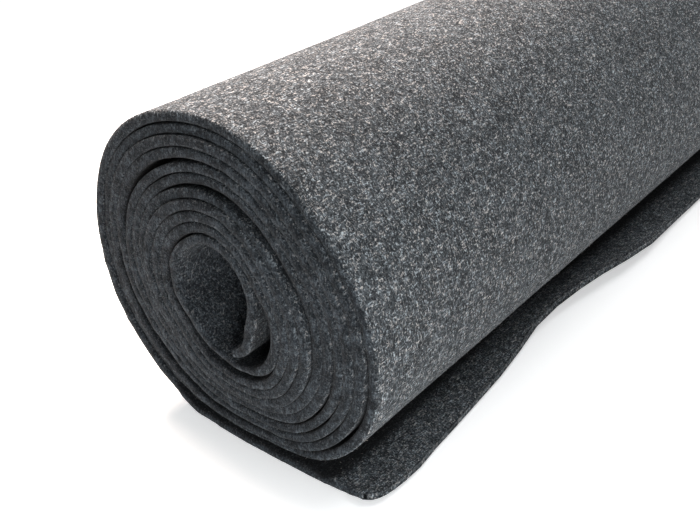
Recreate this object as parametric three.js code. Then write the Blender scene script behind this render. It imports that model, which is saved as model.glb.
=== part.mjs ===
// A roll of thick grey felt, wound loosely without a core, lying on its side with its loose end on the floor.
// Millimetres, +Z up. The roll runs along Y, its near end faces -Y and the loose end lies towards +X.
// The origin is on the floor, under the winding's axis, halfway along the roll.
import * as THREE from "three";

const FELT_WIDTH = 1000;
const FELT_THICKNESS = 5;
const LAYER_GAP = 0.36;
const AXIS_HEIGHT = 86.2;

// The felt winds anticlockwise, seen from the near end. Angles are in degrees from +X towards +Z.
const INNER_END_ANGLE = 292.5;
const LEAVE_ANGLE = 240;
const WHOLE_TURNS = 11;
const LAYERS = 11.97;
const ANGLE_STEP = 7.5;

// The winding's section: the radius of the hollow in its middle, and of its outline.
const FORM = [
  { angle: 0, hollow: 19.4, outline: 93.2 },
  { angle: 45, hollow: 23.2, outline: 83.5 },
  { angle: 90, hollow: 27.4, outline: 91.8 },
  { angle: 135, hollow: 24.3, outline: 98.5 },
  { angle: 180, hollow: 19.0, outline: 90.8 },
  { angle: 225, hollow: 14.6, outline: 84.5 },
  { angle: 260, hollow: 20.6, outline: 84.4 },
  { angle: 285, hollow: 24.7, outline: 86.9 },
  { angle: 310, hollow: 24.4, outline: 99.9 },
  { angle: 335, hollow: 19.6, outline: 101.0 },
];

// Where the felt is slack, the turn with this number stands off the one inside it.
const SLACK = [
  { turn: 1, angle: 335, spread: 70, gap: 10.3 },
  { turn: 1, angle: 265, spread: 70, gap: 5.8 },
  { turn: 5, angle: 60, spread: 80, gap: 2.2 },
  { turn: 7, angle: 130, spread: 50, gap: 2.0 },
  { turn: 7, angle: 325, spread: 60, gap: 0.9 },
  { turn: 8, angle: 240, spread: 80, gap: 1.8 },
  { turn: 10, angle: 320, spread: 60, gap: 1.6 },
];

// How far the felt's near edge stands out at each turn: the inner turns have slid towards the near end,
// and the loose end has crept out a little.
const STAND_OUT = [
  { turn: 0, out: 10.3 },
  { turn: 1.5, out: 7.8 },
  { turn: 3.5, out: 7.5 },
  { turn: 5.5, out: 3.9 },
  { turn: 7.5, out: 3.3 },
  { turn: 9, out: 0 },
  { turn: 10.3, out: 0 },
  { turn: 10.85, out: 2 },
];

// Low swells of the outermost turn, off the turn inside it.
const SWELLS = [
  { angle: 100, spread: 60, along: 330, reach: 200, rise: 1.6 },
  { angle: 60, spread: 50, along: 800, reach: 180, rise: 2.0 },
  { angle: 170, spread: 60, along: 600, reach: 220, rise: 2.2 },
  { angle: 195, spread: 50, along: 880, reach: 130, rise: 1.5 },
];

// The stretch that comes down to the floor under the winding. Its near end is springy and stays up a little.
const FLOOR_RUN = [
  { x: -36, height: 8.3, nearHeight: 9.2 },
  { x: -30, height: 4.8, nearHeight: 6.1 },
  { x: -23, height: 1.8, nearHeight: 3.9 },
  { x: -16, height: 0.3, nearHeight: 2.7 },
  { x: -9, height: 0, nearHeight: 1.5 },
  { x: 0, height: 0, nearHeight: 0.6 },
  { x: 10, height: 0, nearHeight: 0.2 },
  { x: 20, height: 0, nearHeight: 0 },
  { x: 34, height: 0, nearHeight: 0 },
  { x: 50, height: 0, nearHeight: 0 },
];
const SPRING_REACH = 110;

// The loose end: where its cut edge lies, and how far that edge lifts off the floor, along the roll.
const LOOSE_END = [
  { along: 0, edge: 85.9, lift: 3.4 },
  { along: 5, edge: 90.9, lift: 3.2 },
  { along: 14, edge: 92.9, lift: 2.6 },
  { along: 32, edge: 93.5, lift: 1.6 },
  { along: 70, edge: 90.4, lift: 1.0 },
  { along: 115, edge: 88.5, lift: 1.8 },
  { along: 152, edge: 85.5, lift: 4.6 },
  { along: 186, edge: 82.9, lift: 8.2 },
  { along: 214, edge: 84.4, lift: 11.0 },
  { along: 244, edge: 89.4, lift: 13.0 },
  { along: 276, edge: 94.9, lift: 11.5 },
  { along: 325, edge: 96.9, lift: 7.5 },
  { along: 400, edge: 93.9, lift: 3.0 },
  { along: 520, edge: 95.9, lift: 1.5 },
  { along: 650, edge: 91.9, lift: 3.0 },
  { along: 780, edge: 94.9, lift: 1.5 },
  { along: 900, edge: 92.9, lift: 2.0 },
  { along: 980, edge: 93.4, lift: 3.6 },
  { along: 994, edge: 91.4, lift: 4.2 },
  { along: 1000, edge: 86.9, lift: 4.4 },
];
const LOOSE_END_STEPS = [0.25, 0.5, 0.75, 0.9, 1];
const LIFT_BEND = 1.7;

// Sections along the roll at which the outermost turn is shaped.
const OUTER_TURN_SECTIONS = [0, 120, 240, 400, 560, 700, 820, 920, 1000];

const ease = (t) => t * t * (3 - 2 * t);

// A smooth closed curve through the rows of a table that goes round by angle.
function around(rows, column, angle) {
  const count = rows.length;
  const turnOf = (degrees) => ((degrees % 360) + 360) % 360;
  const place = turnOf(angle);
  let index = count - 1;
  rows.forEach((row, i) => {
    if (row.angle <= place) index = i;
  });
  const row = (k) => rows[(index + k + count) % count];
  const span = turnOf(row(1).angle - row(0).angle);
  const t = turnOf(place - row(0).angle) / span;
  const slopeIn = ((row(1)[column] - row(-1)[column]) * span) / turnOf(row(1).angle - row(-1).angle);
  const slopeOut = ((row(2)[column] - row(0)[column]) * span) / turnOf(row(2).angle - row(0).angle);
  const blended = row(0)[column] * (1 - ease(t)) + row(1)[column] * ease(t);
  return blended + slopeIn * t * (1 - t) ** 2 - slopeOut * t * t * (1 - t);
}

// A value that eases from row to row of an open table.
function between(rows, key, column, value) {
  const after = rows.findIndex((row) => row[key] > value);
  if (after === 0) return rows[0][column];
  if (after < 0) return rows[rows.length - 1][column];
  const low = rows[after - 1];
  const high = rows[after];
  const t = ease((value - low[key]) / (high[key] - low[key]));
  return low[column] + (high[column] - low[column]) * t;
}

// 1 at the middle of a spread, easing to 0 at its ends.
const hump = (distance, spread) => ease(Math.max(0, 1 - Math.abs(distance) / spread));

const apart = (angle, other) => ((((angle - other + 180) % 360) + 360) % 360) - 180;

// The winding at a running angle, counted from the inner end: the radius of its inner face and its thickness.
function winding(run) {
  const angle = INNER_END_ANGLE + run;
  const wound = run / (360 * LAYERS);
  const hollow = around(FORM, "hollow", angle);
  const outline = around(FORM, "outline", angle);
  let slackShift = 0;
  let slackSum = 0;
  for (const slack of SLACK) {
    const gap = slack.gap * hump(apart(angle, slack.angle), slack.spread);
    const middle = ((slack.angle - INNER_END_ANGLE + 360) % 360) + 360 * slack.turn;
    const outside = run > middle - 180 ? 1 : 0;
    slackShift += gap * (outside - wound);
    slackSum += gap;
  }
  const radius = hollow + (outline - hollow) * wound + slackShift;
  const thickness = (outline - hollow - slackSum) / LAYERS - LAYER_GAP;
  return { angle, radius, thickness };
}

function polar(angle, radius) {
  const radians = THREE.MathUtils.degToRad(angle);
  return { x: radius * Math.cos(radians), z: AXIS_HEIGHT + radius * Math.sin(radians) };
}

// A row holds the points of one cut across the felt's length: its inner face and its outer face, section by section.
function woundRow(run, sections, isOuterTurn) {
  const { angle, radius, thickness } = winding(run);
  const shift = -FELT_WIDTH / 2 - between(STAND_OUT, "turn", "out", run / 360);
  const row = { inner: [], outer: [], sections };
  for (const along of sections) {
    let swell = 0;
    if (isOuterTurn) {
      for (const s of SWELLS) {
        swell += s.rise * hump(apart(angle, s.angle), s.spread) * hump(along - s.along, s.reach);
      }
    }
    const inside = polar(angle, radius + swell);
    const outside = polar(angle, radius + thickness + swell);
    row.inner.push(new THREE.Vector3(inside.x, along + shift, inside.z));
    row.outer.push(new THREE.Vector3(outside.x, along + shift, outside.z));
  }
  return row;
}

// The felt's upper face, square to the lower face's slope at each point of a line of lower points.
function thicken(line, k) {
  const before = line[Math.max(0, k - 1)];
  const after = line[Math.min(line.length - 1, k + 1)];
  const slope = Math.atan2(after.z - before.z, after.x - before.x);
  const { x, y, z } = line[k];
  return new THREE.Vector3(x - FELT_THICKNESS * Math.sin(slope), y, z + FELT_THICKNESS * Math.cos(slope));
}

// The rows from under the winding to the loose end's cut edge, which continue the last wound row.
function floorRows(lastWound) {
  const sections = LOOSE_END.map((row) => row.along);
  const { out: looseOut } = STAND_OUT[STAND_OUT.length - 1];
  const lines = LOOSE_END.map(({ along, edge, lift }) => {
    const y = along - FELT_WIDTH / 2 - looseOut;
    const spring = hump(along, SPRING_REACH);
    const start = lastWound.outer[0];
    const line = [new THREE.Vector3(start.x, y, start.z)];
    for (const { x, height, nearHeight } of FLOOR_RUN) {
      line.push(new THREE.Vector3(x, y, height + (nearHeight - height) * spring));
    }
    const { x: landing } = FLOOR_RUN[FLOOR_RUN.length - 1];
    for (const t of LOOSE_END_STEPS) {
      line.push(new THREE.Vector3(landing + (edge - landing) * t, y, lift * t ** LIFT_BEND));
    }
    return line;
  });
  const rows = [];
  for (let k = 1; k < lines[0].length; k += 1) {
    rows.push({ inner: lines.map((line) => thicken(line, k)), outer: lines.map((line) => line[k]), sections });
  }
  return rows;
}

function windRows() {
  const lastRun = 360 * WHOLE_TURNS + LEAVE_ANGLE - INNER_END_ANGLE;
  const rows = [];
  for (let run = 0; run <= lastRun; run += ANGLE_STEP) {
    const isOuterTurn = run > lastRun - 360;
    rows.push(woundRow(run, isOuterTurn ? OUTER_TURN_SECTIONS : [0, FELT_WIDTH], isOuterTurn));
  }
  return rows.concat(floorRows(rows[rows.length - 1]));
}

// One closed skin over all the rows. Two rows may have different numbers of sections.
function skin(rows) {
  const positions = [];
  const index = [];
  const number = (points) => points.map((point) => positions.push(...point.toArray()) / 3 - 1);
  const numbered = rows.map((row) => ({ inner: number(row.inner), outer: number(row.outer), sections: row.sections }));
  const quad = (a, b, c, d) => index.push(a, b, c, a, c, d);

  // A strip between two lines of points, which takes the next point of the line that lags behind.
  const strip = (a, b, aSections, bSections) => {
    let i = 0;
    let j = 0;
    while (i < a.length - 1 || j < b.length - 1) {
      const takeA = j === b.length - 1 || (i < a.length - 1 && aSections[i + 1] <= bSections[j + 1]);
      if (takeA) index.push(a[i], b[j], a[i + 1]);
      else index.push(a[i], b[j], b[j + 1]);
      if (takeA) i += 1;
      else j += 1;
    }
  };

  for (let k = 0; k < numbered.length - 1; k += 1) {
    const here = numbered[k];
    const next = numbered[k + 1];
    strip(next.outer, here.outer, next.sections, here.sections);
    strip(here.inner, next.inner, here.sections, next.sections);
    quad(here.inner[0], here.outer[0], next.outer[0], next.inner[0]);
    quad(here.outer.at(-1), here.inner.at(-1), next.inner.at(-1), next.outer.at(-1));
  }
  const first = numbered[0];
  const last = numbered.at(-1);
  strip(first.outer, first.inner, first.sections, first.sections);
  strip(last.inner, last.outer, last.sections, last.sections);

  const geometry = new THREE.BufferGeometry();
  geometry.setAttribute("position", new THREE.Float32BufferAttribute(positions, 3));
  geometry.setIndex(index);
  geometry.computeVertexNormals();
  return geometry;
}

const felt = new THREE.MeshStandardMaterial({ color: 0x585b60, roughness: 0.95, metalness: 0 });
const roll = new THREE.Mesh(skin(windRows()), felt);
roll.name = "felt_roll";

const group = new THREE.Group();
group.add(roll);

export default group;
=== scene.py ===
import math

import bpy
import numpy as np
from mathutils import Matrix, Vector, noise


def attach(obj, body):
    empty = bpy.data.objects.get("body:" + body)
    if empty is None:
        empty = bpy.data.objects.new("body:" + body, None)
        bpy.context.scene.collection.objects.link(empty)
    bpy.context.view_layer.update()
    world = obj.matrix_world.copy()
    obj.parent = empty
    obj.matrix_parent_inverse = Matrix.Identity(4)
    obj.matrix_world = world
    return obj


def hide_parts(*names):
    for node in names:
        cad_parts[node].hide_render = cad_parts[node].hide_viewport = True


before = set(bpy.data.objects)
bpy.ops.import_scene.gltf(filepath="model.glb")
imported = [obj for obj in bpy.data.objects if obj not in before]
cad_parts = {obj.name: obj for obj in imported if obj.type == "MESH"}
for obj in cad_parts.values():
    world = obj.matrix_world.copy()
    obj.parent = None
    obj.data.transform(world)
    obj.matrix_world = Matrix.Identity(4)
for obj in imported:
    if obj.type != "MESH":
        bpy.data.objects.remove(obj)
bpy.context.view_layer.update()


# The view: the photograph's own, from the near end, above and to the right of the roll.
# The camera is placed by its angles, with a slight roll.
camera_data = bpy.data.cameras.new("camera")
camera_data.lens = 53.19
camera_data.sensor_width = 36.0
camera_data.clip_start = 0.01
camera_data.clip_end = 100.0
camera = bpy.data.objects.new("camera", camera_data)
bpy.context.scene.collection.objects.link(camera)
camera_azimuth = math.radians(36.54)
camera_elevation = math.radians(29.92)
camera_roll = math.radians(0.647)
camera_place = Vector((0.3011, -0.8059, 0.3495))
looking = Matrix.Rotation(camera_azimuth, 4, "Z") @ Matrix.Rotation(math.radians(90) - camera_elevation, 4, "X")
camera.matrix_world = Matrix.Translation(camera_place) @ looking @ Matrix.Rotation(camera_roll, 4, "Z")
bpy.context.scene.camera = camera


# The roll: one length of thick needle-punched felt, charcoal with light and dark fibres mixed.
# It is wound on itself without a core, about eleven turns, and lies on its side. The inner turns have slid
# towards the near end, and the loose end comes out under the roll, flat on the floor but for its wavy edge.
MM = 0.001
FELT_WIDTH = 1000.0
FELT_THICKNESS = 5.0
AXIS_HEIGHT = 86.2

# The winding, in degrees. A running angle counts on from the felt's inner end, turn after turn.
INNER_END_ANGLE = 292.5
LEAVE_ANGLE = 240.0
WHOLE_TURNS = 11
LAYERS = 11.97
LAST_RUN = 360 * WHOLE_TURNS + LEAVE_ANGLE - INNER_END_ANGLE
OUTERMOST_RUN = LAST_RUN - 360
FIRST_STEP = 1.6
ANGLE_STEP = 3.75

# angle, radius of the hollow, radius of the outline
FORM = (
    (0, 19.4, 93.2), (45, 23.2, 83.5), (90, 27.4, 91.8), (135, 24.3, 98.5), (180, 19.0, 90.8),
    (225, 14.6, 84.5), (260, 20.6, 84.4), (285, 24.7, 86.9), (310, 24.4, 99.9), (335, 19.6, 101.0),
)
# turn, angle, spread, gap: where a turn stands off the one inside it
SLACK = (
    (1, 335, 70, 10.3), (1, 265, 70, 5.8), (1, 195, 70, 2.6), (5, 60, 80, 2.4), (7, 130, 50, 2.0),
    (7, 325, 60, 0.9), (8, 235, 85, 3.2), (10, 320, 60, 1.6),
)
# turn, angle, spread, width: where a slit shows between a turn and the one inside it. Elsewhere they are pressed
# together and their cut edges run into each other.
SLITS = (
    (1, 40, 70, 0.5), (1, 118, 50, 1.2), (1, 265, 50, 0.9), (2, 300, 20, 1.2), (3, 108, 24, 0.45), (3, 328, 18, 0.45),
    (4, 103, 30, 0.6), (4, 332, 18, 0.5), (5, 20, 70, 0.8), (5, 75, 50, 1.7), (5, 113, 26, 0.8), (5, 345, 30, 0.6),
    (6, 122, 26, 0.7), (7, 118, 50, 1.0), (7, 158, 26, 0.5), (7, 340, 36, 0.4), (8, 115, 32, 0.7), (8, 240, 80, 0.6),
    (8, 320, 26, 0.9), (9, 108, 32, 0.5), (9, 318, 24, 0.6), (10, 112, 36, 0.9), (10, 60, 44, 0.35), (10, 316, 30, 0.4),
)
PRESSED_SLIT = 0.05
OUTERMOST_SLIT = 0.36
# turn, how far its near edge stands out
STAND_OUT = (
    (0, 9.0), (1.5, 7.8), (3.5, 7.5), (5.5, 3.9), (7.5, 3.3), (8.9, 2.8), (9.8, 0), (10.3, 0), (10.85, 2),
)
# angle, spread, along, reach, rise: low swells of the outermost turn
SWELLS = (
    (100, 60, 330, 200, 1.6), (60, 50, 800, 180, 2.0), (170, 60, 600, 220, 2.2), (195, 50, 880, 130, 1.5),
)
SWELLS_START_OVER = 20.0
# x, height, height at the springy near end: the stretch that comes down to the floor
FLOOR_RUN = (
    (-36, 8.3, 9.2), (-30, 4.8, 6.1), (-23, 1.8, 3.9), (-16, 0.3, 2.7), (-9, 0, 1.5),
    (0, 0, 0.6), (10, 0, 0.2), (20, 0, 0), (34, 0, 0), (50, 0, 0),
)
SPRING_REACH = 110.0
# along the roll, where the cut edge lies, how far it lifts
LOOSE_END = (
    (0, 85.9, 3.4), (5, 90.9, 3.2), (14, 92.9, 2.6), (32, 93.5, 1.6), (70, 90.4, 1.0), (115, 88.5, 1.8),
    (152, 85.5, 4.6), (186, 82.9, 8.2), (214, 84.4, 11.0), (244, 89.4, 13.0), (276, 94.9, 11.5),
    (325, 96.9, 7.5), (400, 93.9, 3.0), (520, 95.9, 1.5), (650, 91.9, 3.0), (780, 94.9, 1.5),
    (900, 92.9, 2.0), (980, 93.4, 3.6), (994, 91.4, 4.2), (1000, 86.9, 4.4),
)
LOOSE_END_STEPS = (0.25, 0.5, 0.75, 0.9, 1.0)
LIFT_BEND = 1.7
RUN_SUBSTEPS = 4

# Places along the felt's width at which its faces are shaped. They lie closer near the ends and where it lifts.
ALONG = (
    0, 1.1, 3, 6, 10, 16, 25, 38, 55, 75, 100, 128, 155, 180, 205, 230, 255, 285, 320, 370, 430, 500, 580,
    660, 740, 820, 890, 940, 970, 986, 994, 998.9, 1000,
)


def ease(t):
    return t * t * (3 - 2 * t)


def limited(value):
    return min(1.0, max(0.0, value))


def hump(distance, spread):
    return ease(max(0.0, 1 - abs(distance) / spread))


def curve(low, high, slope_in, slope_out, t):
    """A smooth way from low to high, with the slopes that it has at both."""
    return low * (1 - ease(t)) + high * ease(t) + slope_in * t * (1 - t) ** 2 - slope_out * t * t * (1 - t)


def apart(angle, other):
    return (angle - other + 180) % 360 - 180


def run_at(turn, angle):
    """The running angle at which a turn passes an angle."""
    return (angle - INNER_END_ANGLE) % 360 + 360 * turn


def around(column, angle):
    """A smooth closed curve through a column of FORM."""
    count = len(FORM)
    angle %= 360
    index = max(i for i in range(count) if FORM[i][0] <= angle)
    rows = [FORM[(index + k) % count] for k in (-1, 0, 1, 2)]
    span = (rows[2][0] - rows[1][0]) % 360
    slope_in = (rows[2][column] - rows[0][column]) * span / ((rows[2][0] - rows[0][0]) % 360)
    slope_out = (rows[3][column] - rows[1][column]) * span / ((rows[3][0] - rows[1][0]) % 360)
    return curve(rows[1][column], rows[2][column], slope_in, slope_out, (angle - rows[1][0]) % 360 / span)


def between(rows, column, value):
    """A value that eases from row to row of an open table, by its first column."""
    if value <= rows[0][0]:
        return rows[0][column]
    for low, high in zip(rows, rows[1:]):
        if value < high[0]:
            t = ease((value - low[0]) / (high[0] - low[0]))
            return low[column] + (high[column] - low[column]) * t
    return rows[-1][column]


def slit(run):
    """The width of the slit between the felt at a running angle and the turn outside it."""
    if run > OUTERMOST_RUN:
        return OUTERMOST_SLIT
    width = PRESSED_SLIT
    for turn, at, spread, gap in SLITS:
        width = max(width, gap * hump(run - run_at(turn - 1, at), spread))
    return width


def winding(run):
    """The angle, the radius of the felt's inner face and its thickness, at a running angle."""
    angle = INNER_END_ANGLE + run
    wound = run / (360 * LAYERS)
    hollow = around(1, angle)
    outline = around(2, angle)
    slack_shift = slack_sum = 0.0
    for turn, at, spread, gap in SLACK:
        here = gap * hump(apart(angle, at), spread)
        slack_shift += here * ((run > run_at(turn, at) - 180) - wound)
        slack_sum += here
    radius = hollow + (outline - hollow) * wound + slack_shift
    return angle, radius, (outline - hollow - slack_sum) / LAYERS - slit(run)


def gap_between(run):
    """The air between the felt at a running angle and the turn outside it."""
    radius, thickness = winding(run)[1:]
    return winding(run + 360)[1] - radius - thickness


def stand_out(run):
    return between(STAND_OUT, 1, run / 360)


def wound_cut(run):
    """One cut across the wound felt: its inner and outer points at each place along the roll."""
    angle, radius, thickness = winding(run)
    turned = math.radians(angle)
    direction = np.array((math.cos(turned), 0.0, math.sin(turned)))
    outermost = ease(limited((run - OUTERMOST_RUN) / SWELLS_START_OVER))
    inner, outer = [], []
    for along in ALONG:
        swell = sum(
            rise * hump(apart(angle, at), spread) * hump(along - place, reach)
            for at, spread, place, reach, rise in SWELLS
        ) * outermost
        y = along - FELT_WIDTH / 2 - stand_out(run)
        inner.append(direction * (radius + swell) + (0, y, AXIS_HEIGHT))
        outer.append(direction * (radius + swell + thickness) + (0, y, AXIS_HEIGHT))
    return np.array(inner), np.array(outer)


def floor_cuts(before, start):
    """The cuts from under the winding to the loose end's cut edge."""
    lines = []
    for i, along in enumerate(ALONG):
        spring = hump(along, SPRING_REACH)
        points = [before[i][[0, 2]], start[i][[0, 2]]]
        points += [np.array((x, height + (near - height) * spring)) for x, height, near in FLOOR_RUN]
        landing = FLOOR_RUN[-1][0]
        edge = between(LOOSE_END, 1, along)
        lift = between(LOOSE_END, 2, along)
        points += [np.array((landing + (edge - landing) * t, lift * t**LIFT_BEND)) for t in LOOSE_END_STEPS]
        line = []
        for k in range(1, len(points) - 1):
            a, b, c = points[k - 1], points[k], points[k + 1]
            d = points[k + 2] if k + 2 < len(points) else 2 * c - b
            line += [curve(b, c, (c - a) / 2, (d - b) / 2, step / RUN_SUBSTEPS) for step in range(RUN_SUBSTEPS)]
        line = np.array([*line, points[-1]])
        line[:, 1] = np.maximum(line[:, 1], 0.0)
        slope = np.gradient(line, axis=0)
        slope /= np.linalg.norm(slope, axis=1)[:, None]
        raised = line + FELT_THICKNESS * np.stack((-slope[:, 1], slope[:, 0]), 1)
        y = along - FELT_WIDTH / 2 - STAND_OUT[-1][1]
        lines.append([np.insert(side, 1, y, axis=1) for side in (raised, line)])
    upper = np.array([line[0] for line in lines]).transpose(1, 0, 2)
    lower = np.array([line[1] for line in lines]).transpose(1, 0, 2)
    return upper[1:], lower[1:]


runs = [0.0, FIRST_STEP, *np.arange(ANGLE_STEP, LAST_RUN + 0.01, ANGLE_STEP)]
cuts = [wound_cut(run) for run in runs]
upper, lower = floor_cuts(wound_cut(LAST_RUN - ANGLE_STEP)[1], wound_cut(LAST_RUN)[1])
inner = np.concatenate([np.array([cut[0] for cut in cuts]), upper])
outer = np.concatenate([np.array([cut[1] for cut in cuts]), lower])
cut_count, place_count = inner.shape[:2]
first_outermost = int(OUTERMOST_RUN / ANGLE_STEP)
first_floor = len(runs)
floor_count = cut_count - first_floor

# How much painted shade darkens each face's colour, on top of the shade that the light casts: between turns, where a
# gap of DIM_GAP is open enough for no shade, and in the fold where the roll meets its loose end.
DIM_GAP = 20.0
DIM_DEPTH = 4.0
OPEN_DIM_DEPTH = 1.0
SHADE_AHEAD = 0.7
FOLD_DARK_TO = 63.0
FOLD_FADES_OVER = 5.0
FOLD_HEIGHT = 20.0
FOLD_AIR = 10.0


def shade_between(run):
    """The painted shade for the felt's inner and outer face where the turns on both sides keep light off it, at each
    place along the roll.
    """
    shades = []
    for neighbour in (run - 360, run + 360):
        if not 0 <= neighbour <= LAST_RUN:
            shades.append([0.0] * place_count)
            continue
        gap = gap_between(min(run, neighbour))
        covered = stand_out(neighbour) - stand_out(run)
        dim_from, darkest_at = covered, DIM_DEPTH
        if neighbour < run:
            dim_from = SHADE_AHEAD * min(1.0, gap)
            darkest_at = DIM_DEPTH - (DIM_DEPTH - OPEN_DIM_DEPTH) * min(1.0, gap)
        depths = [min(along + dim_from, FELT_WIDTH - along - covered) for along in ALONG]
        deepest = 1 - min(1.0, gap / DIM_GAP)
        shades.append([deepest * limited(depth / darkest_at) for depth in depths])
    return shades


# Painted shade on the loose end's upper face in the fold: dark up to FOLD_DARK_TO, gone FOLD_FADES_OVER further on.
fold_shades = [1 - ease(limited((x - FOLD_DARK_TO) / FOLD_FADES_OVER)) for x in upper[:, 0, 0]]
shades = [shade_between(run) for run in runs] + [[[dim] * place_count, [0.0] * place_count] for dim in fold_shades]
# Painted shade on the outermost turn's outside just above the fold, darker the lower it comes to the loose end.
for k in range(first_outermost + 2, first_floor):
    for i, (x, _, z) in enumerate(outer[k]):
        if x > 0 and z < FOLD_HEIGHT:
            shades[k][1][i] = 1 - ease(limited((z - FELT_THICKNESS) / FOLD_AIR))

# The felt is a little uneven: its thickness, its outside and its cut edges. A rise is how far the waves go, and the
# waves' own value is how long they are.
FACE_RISE = 0.1
OUTER_WAVES = 14.0
INNER_WAVES = 11.0
OUTSIDE_RISE = 0.35
OUTSIDE_WAVES = 40.0
FLOOR_HOLLOWS = 0.3
EDGE_RISE = 0.4
EDGE_WAVES = (9.0, 3.0)
SMALL_WAVE_SHARE = 0.6
TURN_DRIFT = 0.45
DRIFT_WAVES = 170.0
FAR_END_SHIFT = 900.0
FELT_PER_DEGREE = 0.9
FELT_PER_FLOOR_CUT = 4


def wave(point, size):
    """Slow unevenness between -1 and 1, with bumps about as big as size."""
    return noise.noise(Vector(point) / size) * 1.6


for k in range(cut_count):
    across = outer[k] - inner[k]
    across /= np.linalg.norm(across, axis=1)[:, None]
    for i in range(1, place_count - 1):
        shift = FACE_RISE * wave(outer[k, i], OUTER_WAVES)
        if first_outermost <= k < first_floor:
            shift += OUTSIDE_RISE * (0.5 + 0.5 * wave(outer[k, i], OUTSIDE_WAVES))
        if k < first_floor:
            outer[k, i] += across[i] * shift
            inner[k, i] -= across[i] * (FACE_RISE * wave(inner[k, i], INNER_WAVES))
        else:
            inner[k, i] += across[i] * (FLOOR_HOLLOWS * abs(shift))
along_felt = [run * FELT_PER_DEGREE for run in runs]
along_felt += [LAST_RUN * FELT_PER_DEGREE + FELT_PER_FLOOR_CUT * step for step in range(floor_count)]
edge_waves = np.array([
    [
        EDGE_RISE * (wave(inner[k, end], EDGE_WAVES[0]) + SMALL_WAVE_SHARE * wave(inner[k, end], EDGE_WAVES[1]))
        + TURN_DRIFT * wave((along_felt[k], FAR_END_SHIFT * end, 0.0), DRIFT_WAVES)
        for end in (0, -1)
    ]
    for k in range(cut_count)
])

# The rounded section of a cut edge: share of the thickness, how far it is set back. Where a turn is pressed against
# the next one, only PRESSED_ROUNDING of it is left.
CUT_EDGE = ((0.1, 0.3), (0.5, 0.0), (0.9, 0.3))
PRESSED_ROUNDING = 0.15
FULL_ROUNDING_GAP = 0.5
END_THINNESS = 0.7
# How far the corners of a cut edge keep the dark look of a fresh cut, and how much of it the cut across the loose end
# keeps; the rest of that cut is left paler as painted light.
CORNER_DARKNESS = 0.75
LOOSE_END_DARKNESS = 0.2
# How much of the outside's pale fibres the other faces of the wound turns show, how much paler the loose end's upper
# face is painted as painted light, and how much of the outside's loose fibres the loose end has.
WOUND_PALENESS = 0.3
LOOSE_END_PAINTED_LIGHT = 0.85
LOOSE_END_FIBRES = 0.3


def rounding(run):
    """How rounded the cut edge is at its inner and its outer corner."""
    shares = []
    for inner_turn in (run - 360, run):
        gap = gap_between(inner_turn) if 0 <= inner_turn <= OUTERMOST_RUN else FULL_ROUNDING_GAP
        shares.append(PRESSED_ROUNDING + (1 - PRESSED_ROUNDING) * min(1.0, gap / FULL_ROUNDING_GAP))
    return shares


roundings = [rounding(run) for run in runs] + [[1.0, 1.0]] * floor_count


def cut_points(k, end, inwards):
    """The points of the cut edge at the near end, 0, or the far end, -1: place, share of the thickness, darkness."""
    points = []
    for share, back in CUT_EDGE:
        place = inner[k, end] * (1 - share) + outer[k, end] * share
        set_back = inwards * (back * roundings[k][share > 0.5])
        darkness = 1.0 if share == 0.5 else CORNER_DARKNESS
        points.append((place + (0, edge_waves[k, end] + set_back, 0), share, darkness))
    return points


positions, pale_sides_and_painted_light, cut_edges, shaded, open_sides = [], [], [], [], []
for k in range(cut_count):
    ring = [(inner[k, i], 0.0, 0.0) for i in range(1, place_count - 1)]
    ring += cut_points(k, -1, -1)
    ring += [(outer[k, i], 1.0, 0.0) for i in range(place_count - 2, 0, -1)]
    ring += reversed(cut_points(k, 0, 1))
    if k in (0, cut_count - 1):
        half = (inner[k] + outer[k]) / 2
        for j, (p, share, darkness) in enumerate(ring):
            nearest = half[int(np.argmin(np.abs(half[:, 1] - p[1])))]
            middle = nearest * (1, 0, 1) + (0, p[1], 0)
            ring[j] = (p * END_THINNESS + middle * (1 - END_THINNESS), share, 1.0)
    positions += [tuple(p * MM) for p, share, darkness in ring]
    # The loose end's upper face is painted paler than the felt's inner face elsewhere, as painted light.
    outer_paleness = 1.0 if k >= first_outermost else WOUND_PALENESS
    inner_painted_light = LOOSE_END_PAINTED_LIGHT if k >= first_floor else 0.0
    pale_sides_and_painted_light += [max(share * outer_paleness, (1 - share) * inner_painted_light) for p, share, darkness in ring]
    cut_edges += [darkness * (LOOSE_END_DARKNESS if k >= cut_count - 2 else 1.0) for p, share, darkness in ring]
    inner_shade, outer_shade = shades[k]
    shaded += [*inner_shade[1:], 0.0, 0.0, *outer_shade[-2:0:-1], 0.0, 0.0, inner_shade[0]]
    on_loose_end = LOOSE_END_FIBRES * (k > first_floor + 3 * RUN_SUBSTEPS)
    on_outside = float(first_outermost + 2 < k < first_floor)
    for fibres in (on_loose_end, on_outside):
        open_sides += [fibres] * (place_count - 2) + [0.0] * len(CUT_EDGE)

face_count = place_count - 2
edge_count = len(CUT_EDGE)
ring_size = 2 * (face_count + edge_count)
faces = []
for k in range(cut_count - 1):
    for j in range(ring_size):
        a, b = k * ring_size + j, k * ring_size + (j + 1) % ring_size
        faces.append((a, b, b + ring_size, a + ring_size))
for k in (0, cut_count - 1):
    first = k * ring_size
    inside = [first + j for j in range(face_count)]
    far_points = [first + face_count + j for j in range(edge_count)]
    outside = [first + 2 * face_count + edge_count - 1 - j for j in range(face_count)]
    near_points = [first + 2 * face_count + edge_count + j for j in range(edge_count)]
    cap = [(inside[j], inside[j + 1], outside[j + 1], outside[j]) for j in range(face_count - 1)]
    cap += [(inside[-1], *far_points, outside[-1]), (outside[0], *near_points, inside[0])]
    faces += cap if k == 0 else [tuple(reversed(face)) for face in cap]

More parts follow.
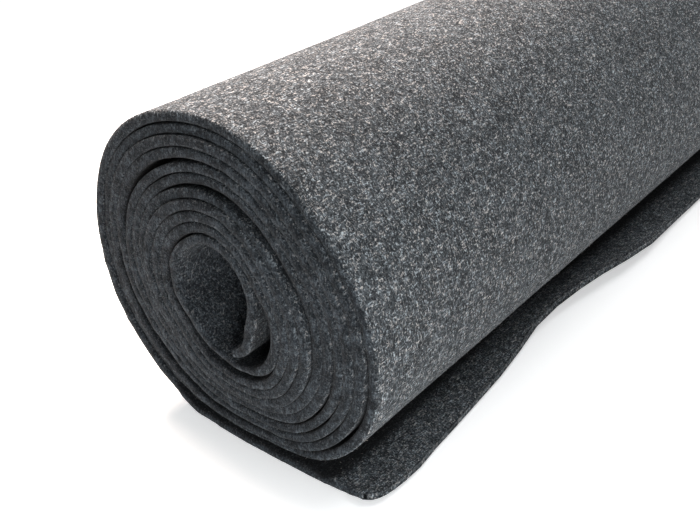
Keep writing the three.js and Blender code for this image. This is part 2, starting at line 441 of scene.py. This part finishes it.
mesh = bpy.data.meshes.new("felt_roll_soft")
mesh.from_pydata(positions, [], faces)
mesh.update()
roll = bpy.data.objects.new("felt_roll_soft", mesh)
bpy.context.scene.collection.objects.link(roll)
mesh.shade_smooth()
for name, values in (
    ("pale_side_and_painted_light", pale_sides_and_painted_light), ("cut_edge", cut_edges), ("painted_shade", shaded), ("open_side", open_sides),
):
    mesh.attributes.new(name, "FLOAT", "POINT").data.foreach_set("value", values)


def feed(socket, value):
    """Links another node's output to a socket, or sets the socket to a plain value."""
    if isinstance(value, bpy.types.NodeSocket):
        socket.id_data.links.new(value, socket)
    else:
        socket.default_value = value


def felt_material():
    """Needle felt: dark fibres with pale ones needled through, palest on the outer side, darkest on the cut edge; with
    painted shade between the turns and in the fold, and painted light that makes the loose end's upper face paler.
    """
    material = bpy.data.materials.new("charcoal_needle_felt")
    material.use_nodes = True
    nodes, links = material.node_tree.nodes, material.node_tree.links
    shader = nodes["Principled BSDF"]
    shader.inputs["Roughness"].default_value = 0.95
    shader.inputs["Specular IOR Level"].default_value = 0.08
    shader.inputs["Sheen Weight"].default_value = 0.04
    shader.inputs["Sheen Roughness"].default_value = 0.6
    place = nodes.new("ShaderNodeTexCoord").outputs["Object"]

    def mix(factor, a, b, blend="MIX"):
        made = nodes.new("ShaderNodeMix")
        made.data_type = "RGBA"
        made.blend_type = blend
        for index, value in ((0, factor), (6, a), (7, b)):
            feed(made.inputs[index], value)
        return made.outputs[2]

    def combine(operation, a, b):
        made = nodes.new("ShaderNodeMath")
        made.operation = operation
        feed(made.inputs[0], a)
        feed(made.inputs[1], b)
        return made.outputs[0]

    def attribute(name):
        made = nodes.new("ShaderNodeAttribute")
        made.attribute_name = name
        return made.outputs["Fac"]

    def fibres(scale, detail, turn=(0, 0, 0), stretch=(1, 1, 1)):
        mapping = nodes.new("ShaderNodeMapping")
        mapping.inputs["Rotation"].default_value = turn
        mapping.inputs["Scale"].default_value = stretch
        links.new(place, mapping.inputs["Vector"])
        made = nodes.new("ShaderNodeTexNoise")
        made.inputs["Scale"].default_value = scale
        made.inputs["Detail"].default_value = detail
        made.inputs["Roughness"].default_value = 0.55
        made.inputs["Distortion"].default_value = 0.5
        links.new(mapping.outputs[0], made.inputs["Vector"])
        return made.outputs["Fac"]

    def rise(value, low, high):
        made = nodes.new("ShaderNodeMapRange")
        made.interpolation_type = "SMOOTHSTEP"
        made.inputs["From Min"].default_value = low
        made.inputs["From Max"].default_value = high
        links.new(value, made.inputs["Value"])
        return made.outputs["Result"]

    def grey(level):
        return (level, level, level, 1)

    # The side attribute carries the felt's paler outer side and also painted light, which makes the loose end's upper
    # face paler.
    side, cut, shade = attribute("pale_side_and_painted_light"), attribute("cut_edge"), attribute("painted_shade")
    grains = fibres(950.0, 2.5)
    fine = fibres(1900.0, 1.0, (0.7, 0.3, 1.1))
    strands_a = fibres(1150.0, 1.0, (0.4, 0.9, 0.5), (1, 1, 0.28))
    strands_b = fibres(1150.0, 1.0, (1.9, 0.2, 1.3), (1, 0.28, 1))
    clumps = fibres(260.0, 2.0, (1.1, 0.6, 0.3))
    hues = fibres(420.0, 1.0, (2.1, 0.5, 0.2))
    patches = fibres(60.0, 2.0, (0.2, 1.4, 0.9))
    mottles = fibres(190.0, 3.0, (1.7, 0.1, 0.6))

    mass = combine("ADD", combine("MULTIPLY", grains, 0.5), combine("MULTIPLY", fine, 0.2))
    mass = combine("ADD", mass, combine("MULTIPLY", clumps, 0.3))
    strand = combine("MAXIMUM", strands_a, strands_b)
    pale = combine("MULTIPLY", rise(strand, 0.52, 0.74), rise(mass, 0.42, 0.60))
    dark = rise(combine("MINIMUM", strands_a, grains), 0.48, 0.30)

    dim = mix(side, (0.014, 0.0172, 0.0210, 1), (0.019, 0.0225, 0.0260, 1))
    dim = mix(cut, dim, (0.0088, 0.0110, 0.0135, 1))
    light = mix(side, (0.060, 0.069, 0.079, 1), (0.100, 0.113, 0.124, 1))
    light = mix(cut, light, (0.031, 0.038, 0.045, 1))
    base = mix(rise(mass, 0.36, 0.64), dim, light)
    base = mix(1.0, base, mix(rise(patches, 0.3, 0.7), grey(0.82), grey(1.18)), "MULTIPLY")
    mottled = mix(1.0, base, mix(rise(mottles, 0.36, 0.64), grey(0.5), grey(1.5)), "MULTIPLY")
    base = mix(cut, base, mottled)
    base = mix(combine("MULTIPLY", dark, 0.7), base, (0.007, 0.008, 0.010, 1))
    pale_fibre = mix(rise(hues, 0.42, 0.58), (0.62, 0.70, 0.755, 1), (0.80, 0.76, 0.73, 1))
    pale_fibre = mix(cut, pale_fibre, (0.140, 0.165, 0.185, 1))
    pale_share = combine("ADD", combine("MULTIPLY", side, 0.57), 0.25)
    colour = mix(combine("MULTIPLY", pale, pale_share), base, pale_fibre)
    # Painted shade: the colour darkens towards black where the turns and the fold keep light off the felt.
    colour = mix(combine("MULTIPLY", shade, 0.9), colour, (0.004, 0.004, 0.005, 1))
    links.new(colour, shader.inputs["Base Color"])

    height = combine("ADD", combine("MULTIPLY", mass, 1.4), combine("MULTIPLY", strand, 0.8))
    bump = nodes.new("ShaderNodeBump")
    bump.inputs["Strength"].default_value = 0.9
    bump.inputs["Distance"].default_value = 0.0009
    links.new(height, bump.inputs["Height"])
    links.new(bump.outputs["Normal"], shader.inputs["Normal"])
    return material


mesh.materials.append(felt_material())
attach(roll, "root")
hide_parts("felt_roll")


# The loose fibres that stand up from the felt: dark and pale wool ends, a few millimetres long, combed up by
# the needling on its open sides and by the knife on its cut edges.

# name, where they grow, fibres per square metre, length, width, arch, tilt, palest tone, seed
FIBRES = (
    ("fibres_on_cut_edges", "cut_edge", 520000.0, 0.0019, 0.00011, 0.0006, 0.5, 0.62, 3),
    ("fibres_on_open_sides", "open_side", 42000.0, 0.0036, 0.00016, 0.0007, 0.25, 1.0, 8),
)
FIBRE_INPUTS = (
    ("Where", "NodeSocketString"), ("Fibres per square metre", "NodeSocketFloat"), ("Length", "NodeSocketFloat"),
    ("Width", "NodeSocketFloat"), ("Arch", "NodeSocketFloat"), ("Tilt", "NodeSocketFloat"),
    ("Palest", "NodeSocketFloat"), ("Seed", "NodeSocketInt"), ("Material", "NodeSocketMaterial"),
)
SHORTEST, LONGEST = 0.5, 1.3


def loose_fibre_tree():
    """Narrow bowed strips on random points of the felt, each turned, tilted, stretched and toned at random."""
    tree = bpy.data.node_groups.new("loose_fibres", "GeometryNodeTree")
    nodes, links = tree.nodes, tree.links
    tree.interface.new_socket("Geometry", in_out="OUTPUT", socket_type="NodeSocketGeometry")
    tree.interface.new_socket("Geometry", in_out="INPUT", socket_type="NodeSocketGeometry")
    for name, kind in FIBRE_INPUTS:
        tree.interface.new_socket(name, in_out="INPUT", socket_type=kind)
    given = nodes.new("NodeGroupInput").outputs
    result = nodes.new("NodeGroupOutput")

    def math_of(operation, a, b):
        made = nodes.new("ShaderNodeMath")
        made.operation = operation
        feed(made.inputs[0], a)
        feed(made.inputs[1], b)
        return made.outputs[0]

    def vector_of(x, y, z):
        made = nodes.new("ShaderNodeCombineXYZ")
        for index, value in enumerate((x, y, z)):
            feed(made.inputs[index], value)
        return made.outputs[0]

    def chance(low, high, seed_shift):
        made = nodes.new("FunctionNodeRandomValue")
        made.data_type = "FLOAT"
        feed(made.inputs[2], low)
        feed(made.inputs[3], high)
        links.new(math_of("ADD", given["Seed"], seed_shift), made.inputs["Seed"])
        return made.outputs[1]

    where = nodes.new("GeometryNodeInputNamedAttribute")
    where.data_type = "FLOAT"
    links.new(given["Where"], where.inputs["Name"])
    spread = nodes.new("GeometryNodeDistributePointsOnFaces")
    spread.distribute_method = "RANDOM"
    links.new(given["Geometry"], spread.inputs["Mesh"])
    links.new(math_of("MULTIPLY", where.outputs[0], given["Fibres per square metre"]), spread.inputs["Density"])
    links.new(given["Seed"], spread.inputs["Seed"])

    strip = nodes.new("GeometryNodeMeshGrid")
    strip.inputs["Vertices X"].default_value = 4
    strip.inputs["Vertices Y"].default_value = 2
    links.new(given["Length"], strip.inputs["Size X"])
    links.new(given["Width"], strip.inputs["Size Y"])
    place = nodes.new("GeometryNodeInputPosition")
    parts = nodes.new("ShaderNodeSeparateXYZ")
    links.new(place.outputs[0], parts.inputs[0])
    reach = math_of("DIVIDE", parts.outputs["X"], given["Length"])
    bow = math_of("MULTIPLY", math_of("MULTIPLY", reach, reach), -2.0)
    lift = math_of("MULTIPLY", math_of("ADD", bow, math_of("MULTIPLY", reach, 0.8)), given["Arch"])
    bend = math_of("MULTIPLY", math_of("MULTIPLY", reach, reach), given["Arch"])
    height = math_of("ADD", lift, math_of("MULTIPLY", given["Arch"], 0.3))
    curl = nodes.new("GeometryNodeSetPosition")
    links.new(strip.outputs["Mesh"], curl.inputs["Geometry"])
    links.new(vector_of(0.0, bend, height), curl.inputs["Offset"])

    tilt = chance(math_of("MULTIPLY", given["Tilt"], -1.0), given["Tilt"], 23.0)
    spin = nodes.new("FunctionNodeEulerToRotation")
    links.new(vector_of(0.0, tilt, chance(0.0, 2 * math.pi, 37.0)), spin.inputs["Euler"])
    turned = nodes.new("FunctionNodeRotateRotation")
    turned.rotation_space = "LOCAL"
    links.new(spread.outputs["Rotation"], turned.inputs["Rotation"])
    links.new(spin.outputs[0], turned.inputs["Rotate By"])

    placed = nodes.new("GeometryNodeInstanceOnPoints")
    links.new(spread.outputs["Points"], placed.inputs["Points"])
    links.new(curl.outputs[0], placed.inputs["Instance"])
    links.new(turned.outputs[0], placed.inputs["Rotation"])
    size = chance(SHORTEST, LONGEST, 51.0)
    links.new(vector_of(size, 1.0, size), placed.inputs["Scale"])
    tone = nodes.new("GeometryNodeStoreNamedAttribute")
    tone.data_type = "FLOAT"
    tone.domain = "INSTANCE"
    tone.inputs["Name"].default_value = "fibre_tone"
    links.new(placed.outputs[0], tone.inputs["Geometry"])
    links.new(chance(0.0, given["Palest"], 67.0), tone.inputs["Value"])
    real = nodes.new("GeometryNodeRealizeInstances")
    links.new(tone.outputs[0], real.inputs[0])
    finish = nodes.new("GeometryNodeSetMaterial")
    links.new(real.outputs[0], finish.inputs["Geometry"])
    links.new(given["Material"], finish.inputs["Material"])
    links.new(finish.outputs[0], result.inputs[0])
    return tree


def fibre_material():
    """A single wool end: its tone runs from charcoal to pale grey, some of the pale ones a little warm."""
    material = bpy.data.materials.new("wool_ends")
    material.use_nodes = True
    nodes, links = material.node_tree.nodes, material.node_tree.links
    shader = nodes["Principled BSDF"]
    shader.inputs["Roughness"].default_value = 0.7
    shader.inputs["Specular IOR Level"].default_value = 0.15
    tone = nodes.new("ShaderNodeAttribute")
    tone.attribute_name = "fibre_tone"
    place = nodes.new("ShaderNodeTexCoord")
    hues = nodes.new("ShaderNodeTexNoise")
    hues.inputs["Scale"].default_value = 260.0
    links.new(place.outputs["Object"], hues.inputs["Vector"])
    tones = nodes.new("ShaderNodeValToRGB")
    for index, (at, colour) in enumerate((
        (0.0, (0.020, 0.022, 0.026, 1)), (0.4, (0.06, 0.066, 0.073, 1)), (0.7, (0.20, 0.21, 0.22, 1)),
        (1.0, (0.62, 0.61, 0.60, 1)),
    )):
        stops = tones.color_ramp.elements
        stop = stops[index] if index < 2 else stops.new(at)
        stop.position = at
        stop.color = colour
    links.new(tone.outputs["Fac"], tones.inputs[0])
    warmth = nodes.new("ShaderNodeMix")
    warmth.data_type = "RGBA"
    warmth.blend_type = "MULTIPLY"
    links.new(hues.outputs["Fac"], warmth.inputs[0])
    links.new(tones.outputs[0], warmth.inputs[6])
    warmth.inputs[7].default_value = (1.0, 0.84, 0.74, 1)
    links.new(warmth.outputs[2], shader.inputs["Base Color"])
    return material


fibre_tree = loose_fibre_tree()
wool = fibre_material()
sockets = {item.name: item.identifier for item in fibre_tree.interface.items_tree if item.in_out == "INPUT"}
for name, *values in FIBRES:
    grown = bpy.data.objects.new(name, mesh)
    bpy.context.scene.collection.objects.link(grown)
    modifier = grown.modifiers.new("fibres", "NODES")
    modifier.node_group = fibre_tree
    for (label, kind), value in zip(FIBRE_INPUTS, (*values, wool)):
        modifier[sockets[label]] = value
    fibre_mesh = bpy.data.meshes.new_from_object(grown.evaluated_get(bpy.context.evaluated_depsgraph_get()))
    ends = np.empty(len(fibre_mesh.vertices) * 3)
    fibre_mesh.vertices.foreach_get("co", ends)
    ends[2::3] = np.maximum(ends[2::3], 0.0)
    fibre_mesh.vertices.foreach_set("co", ends)
    grown.modifiers.remove(modifier)
    grown.data = fibre_mesh
    fibre_mesh.name = name
    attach(grown, "root")


# The surroundings: a plain pale floor, lit a little from below as a light table is, and soft studio light.
# The strongest light is warm and comes from the upper left.
FLOOR_HALF = 40.0
floor_mesh = bpy.data.meshes.new("floor")
floor_mesh.from_pydata(
    [(x * FLOOR_HALF, y * FLOOR_HALF, 0.0) for x, y in ((-1, -1), (1, -1), (1, 1), (-1, 1))], [], [(0, 1, 2, 3)]
)
floor = bpy.data.objects.new("floor", floor_mesh)
bpy.context.scene.collection.objects.link(floor)
pale_floor = bpy.data.materials.new("pale_floor")
pale_floor.use_nodes = True
floor_shader = pale_floor.node_tree.nodes["Principled BSDF"]
floor_shader.inputs["Base Color"].default_value = (0.9, 0.9, 0.9, 1)
floor_shader.inputs["Roughness"].default_value = 0.9
floor_shader.inputs["Specular IOR Level"].default_value = 0.1
floor_shader.inputs["Emission Color"].default_value = (1, 1, 1, 1)
floor_shader.inputs["Emission Strength"].default_value = 0.46
floor_mesh.materials.append(pale_floor)

world = bpy.data.worlds.new("studio")
world.use_nodes = True
world.node_tree.nodes["Background"].inputs["Color"].default_value = (0.95, 0.98, 1.0, 1)
world.node_tree.nodes["Background"].inputs["Strength"].default_value = 0.28
bpy.context.scene.world = world


def soft_light(name, place, target, size, power, colour):
    light = bpy.data.lights.new(name, "AREA")
    light.shape = "DISK"
    light.size = size
    light.energy = power
    light.color = colour
    lamp = bpy.data.objects.new(name, light)
    lamp.location = place
    lamp.rotation_euler = (Vector(target) - Vector(place)).to_track_quat("-Z", "Y").to_euler()
    bpy.context.scene.collection.objects.link(lamp)


soft_light("warm_key", (-0.32, -0.36, 0.50), (-0.03, -0.44, 0.12), 0.24, 7.9, (1.0, 0.85, 0.77))
soft_light("overhead", (-0.1, -0.1, 1.5), (0.0, -0.2, 0.0), 1.2, 10.5, (1.0, 0.99, 0.98))
soft_light("near_fill", (0.23, -0.71, 0.12), (0.04, -0.5, 0.06), 0.1, 0.42, (0.94, 0.98, 1.0))
soft_light("right_fill", (0.42, -0.2, 1.1), (0.12, -0.2, 0.0), 0.25, 1.9, (0.96, 0.98, 1.0))
bpy.context.scene.view_settings.view_transform = "Standard"
